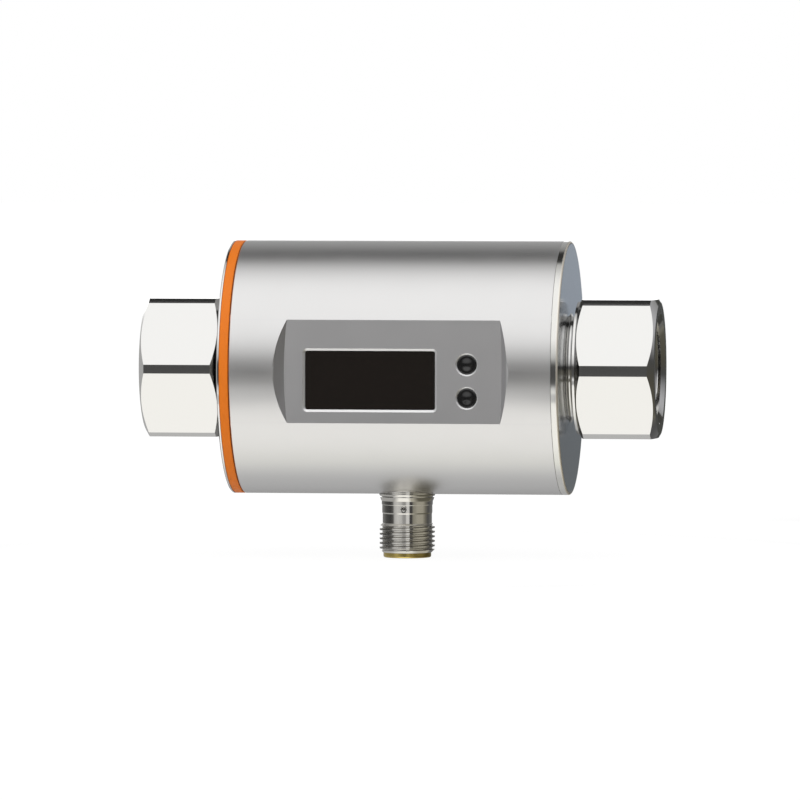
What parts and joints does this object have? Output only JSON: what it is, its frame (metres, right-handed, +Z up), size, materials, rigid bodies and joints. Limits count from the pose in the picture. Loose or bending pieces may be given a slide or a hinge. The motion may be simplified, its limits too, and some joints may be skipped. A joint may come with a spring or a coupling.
{
  "type": "magnetic flow sensor",
  "caption": "Inline magnetic flow sensor with a round steel housing, pipe thread fittings, display window, push buttons and a round plug below.",
  "frame": {"origin": "on the flow axis, half way between the end faces of the two threaded fittings", "axes": "+X along the flow from the inlet (ring side) to the outlet, -Y out of the display, +Z up, with the plug pointing down along -Z"},
  "size_m": [0.112, 0.055, 0.0688],
  "materials": {
    "satin_steel": "satin, fine blasted grain",
    "polished_steel": "polished",
    "plain_steel": "plain turned or punched",
    "orange_plastic": "matt, moulded",
    "dark_window": "glossy, dark tint",
    "black_plastic": "matt, moulded",
    "pipe_plastic": "machined, natural colour",
    "seal_rubber": "matt",
    "magnet_iron": "plain soft iron",
    "copper_wire": "lacquered copper wire",
    "former_plastic": "moulded",
    "board_green": "solder resist",
    "ribbon_amber": "thin film",
    "lead_white": "insulation",
    "brass": "bright",
    "nickel": "nickel plated, turned"
  },
  "bodies": {
    "sensor_body": {"housing_tube": "satin_steel", "inlet_end_cap": "polished_steel", "inlet_ring": "orange_plastic", "outlet_end_plate": "polished_steel", "inlet_fitting": "polished_steel", "outlet_fitting": "polished_steel", "measuring_pipe": "pipe_plastic", "pipe_o_rings": "seal_rubber", "measuring_electrodes": "plain_steel", "electrode_seals": "seal_rubber", "electrode_washers": "plain_steel", "electrode_nuts": "plain_steel", "temperature_probe": "plain_steel", "upper_pole_shoe": "magnet_iron", "lower_pole_shoe": "magnet_iron", "upper_coil_former": "former_plastic", "lower_coil_former": "former_plastic", "upper_field_coil": "copper_wire", "lower_field_coil": "copper_wire", "return_yoke": "magnet_iron", "yoke_screws": "plain_steel", "display_window": "dark_window", "window_gasket": "seal_rubber", "display_carrier": "black_plastic", "display_module": "black_plastic", "display_board": "board_green", "display_board_screws": "plain_steel", "key_switches": "black_plastic", "main_board": "board_green", "board_spacers": "brass", "main_board_screws": "plain_steel", "board_components": "black_plastic", "display_ribbon": "ribbon_amber", "plug_ribbon": "ribbon_amber", "electrode_leads": "lead_white", "coil_leads": "lead_white", "probe_lead": "lead_white", "plug_shell": "nickel", "contact_sleeve": "brass", "contact_carrier": "black_plastic", "plug_o_ring": "seal_rubber", "contact_pins": "brass"},
    "upper_button_body": {"upper_button": "black_plastic", "upper_button_o_ring": "seal_rubber", "upper_switch_plunger": "black_plastic"},
    "lower_button_body": {"lower_button": "black_plastic", "lower_button_o_ring": "seal_rubber", "lower_switch_plunger": "black_plastic"}
  },
  "joints": [
    {"name": "upper_button_press", "type": "slide", "parent": "sensor_body", "child": "upper_button_body", "axis": [0, 1, 0], "range_m": [0, 0.0003], "stiffness_N_per_m": 2500},
    {"name": "lower_button_press", "type": "slide", "parent": "sensor_body", "child": "lower_button_body", "axis": [0, 1, 0], "range_m": [0, 0.0003], "stiffness_N_per_m": 2500}
  ]
}
